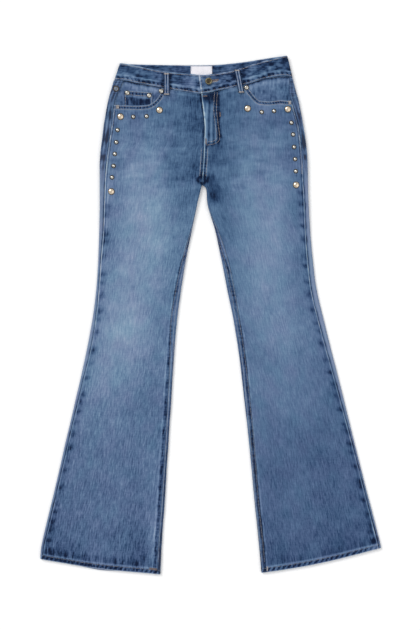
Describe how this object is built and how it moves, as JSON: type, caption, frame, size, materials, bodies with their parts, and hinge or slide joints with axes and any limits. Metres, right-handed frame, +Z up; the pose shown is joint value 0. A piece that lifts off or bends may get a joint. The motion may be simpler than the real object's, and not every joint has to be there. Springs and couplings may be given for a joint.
{
  "type": "bootcut jeans",
  "caption": "Bootcut jeans lying flat, front up: flared legs, dipped waistband with belt loops, scooped pockets, a coin pocket, and domed studs along the pocket mouths and side seams",
  "frame": {"origin": "bottom centre of the laid garment, on the surface it lies on", "axes": "+Y towards the waist, +X to the wearer's left, +Z up out of the front"},
  "size_m": [0.723, 1.0992, 0.0159],
  "materials": {
    "denim": "matte",
    "zip_tape": "matte",
    "label_cloth": "matte",
    "antique_brass": "satin",
    "gold_metal": "polished",
    "silver_metal": "polished"
  },
  "bodies": {
    "root": {"front_left": "denim", "front_right": "denim", "back_left": "denim", "back_right": "denim", "yoke_left": "denim", "yoke_right": "denim", "waistband": "denim", "pocket_facing_left": "denim", "pocket_facing_right": "denim", "coin_pocket": "denim", "belt_loop_front_left": "denim", "belt_loop_front_right": "denim", "belt_loop_back_centre": "denim", "belt_loop_back_left": "denim", "belt_loop_back_right": "denim", "back_pocket_left": "denim", "back_pocket_right": "denim", "fly_zip": "zip_tape", "neck_label": "label_cloth", "button": "antique_brass", "stud_big_1": "gold_metal", "stud_big_2": "gold_metal", "stud_big_3": "gold_metal", "stud_big_4": "gold_metal", "stud_big_5": "gold_metal", "stud_big_6": "gold_metal", "stud_small_1": "silver_metal", "stud_small_2": "silver_metal", "stud_small_3": "silver_metal", "stud_small_4": "silver_metal", "stud_small_5": "silver_metal", "stud_small_6": "silver_metal", "stud_small_7": "silver_metal", "stud_small_8": "silver_metal", "stud_small_9": "silver_metal", "stud_small_10": "silver_metal", "stud_small_11": "silver_metal", "stud_small_12": "silver_metal", "stud_small_13": "silver_metal", "stud_small_14": "silver_metal", "rivet_coin_left": "silver_metal", "rivet_coin_right": "silver_metal", "rivet_pocket_left": "silver_metal", "rivet_pocket_right": "silver_metal", "rivet_side": "antique_brass"}
  },
  "joints": []
}
